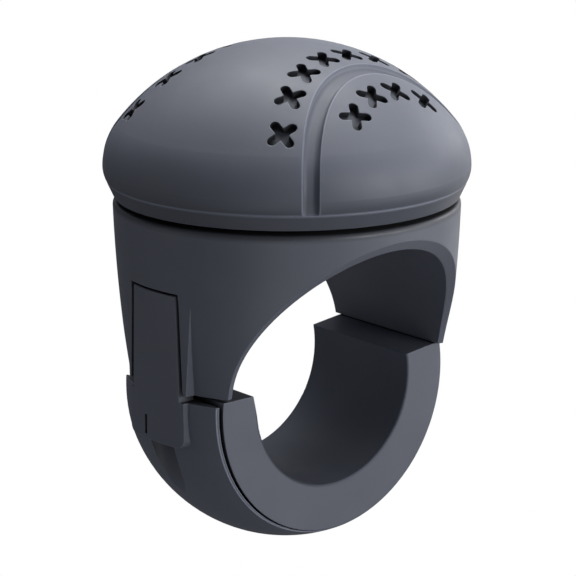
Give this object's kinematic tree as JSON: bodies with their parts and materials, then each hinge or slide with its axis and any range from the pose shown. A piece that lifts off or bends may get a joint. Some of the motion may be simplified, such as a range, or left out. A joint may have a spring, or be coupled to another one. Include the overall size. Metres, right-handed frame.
{
  "type": "steering wheel spinner knob",
  "caption": "Domed spinner knob with baseball style seams on a ball bearing, above a round clamp body whose hinged lower jaw closes round a steering wheel rim.",
  "frame": {"origin": "centre of the bore that closes round the wheel rim, midway along it", "axes": "+Z from the rim towards the dome, +Y along the bore, latch at -X and hinge at +X"},
  "size_m": [0.052, 0.052, 0.0716],
  "materials": {
    "knob_plastic": "satin moulded dark slate grey",
    "clamp_plastic": "satin moulded dark slate grey",
    "bearing_steel": "ground",
    "ball_steel": "polished",
    "cage_nylon": "natural nylon",
    "shield_steel": "pressed sheet",
    "spring_steel": "phosphated",
    "zinc_steel": "zinc plated",
    "insert_nylon": "blue nylon",
    "pin_steel": "ground"
  },
  "bodies": {
    "clamp": {"clamp_body": "clamp_plastic", "hinge_pin": "pin_steel", "spindle_bolt": "zinc_steel", "head_washer": "zinc_steel", "spindle_spacer": "zinc_steel", "bearing_inner_ring": "bearing_steel", "top_washer": "zinc_steel", "spindle_nut": "zinc_steel", "nut_insert": "insert_nylon"},
    "jaw": {"clamp_jaw": "clamp_plastic"},
    "knob": {"knob_dome": "knob_plastic", "knob_base": "knob_plastic", "bearing_outer_ring": "bearing_steel", "bearing_lower_shield": "shield_steel", "bearing_upper_shield": "shield_steel", "bearing_circlip": "spring_steel"},
    "ball_cage": {"bearing_cage": "cage_nylon", "bearing_balls": "ball_steel"}
  },
  "joints": [
    {"name": "knob_spin", "type": "hinge", "parent": "clamp", "child": "knob", "pos_m": [0, 0, 0.0328], "axis": [0, 0, 1], "continuous": true},
    {"name": "cage_spin", "type": "hinge", "parent": "clamp", "child": "ball_cage", "pos_m": [0, 0, 0.0328], "axis": [0, 0, 1], "continuous": true},
    {"name": "jaw_hinge", "type": "hinge", "parent": "clamp", "child": "jaw", "pos_m": [0.021, 0, 0.0012], "axis": [0, -1, 0], "range_deg": [0, 70]}
  ],
  "couplings": [
    {"joint": "cage_spin", "follows": "knob_spin", "ratio": 0.64}
  ]
}
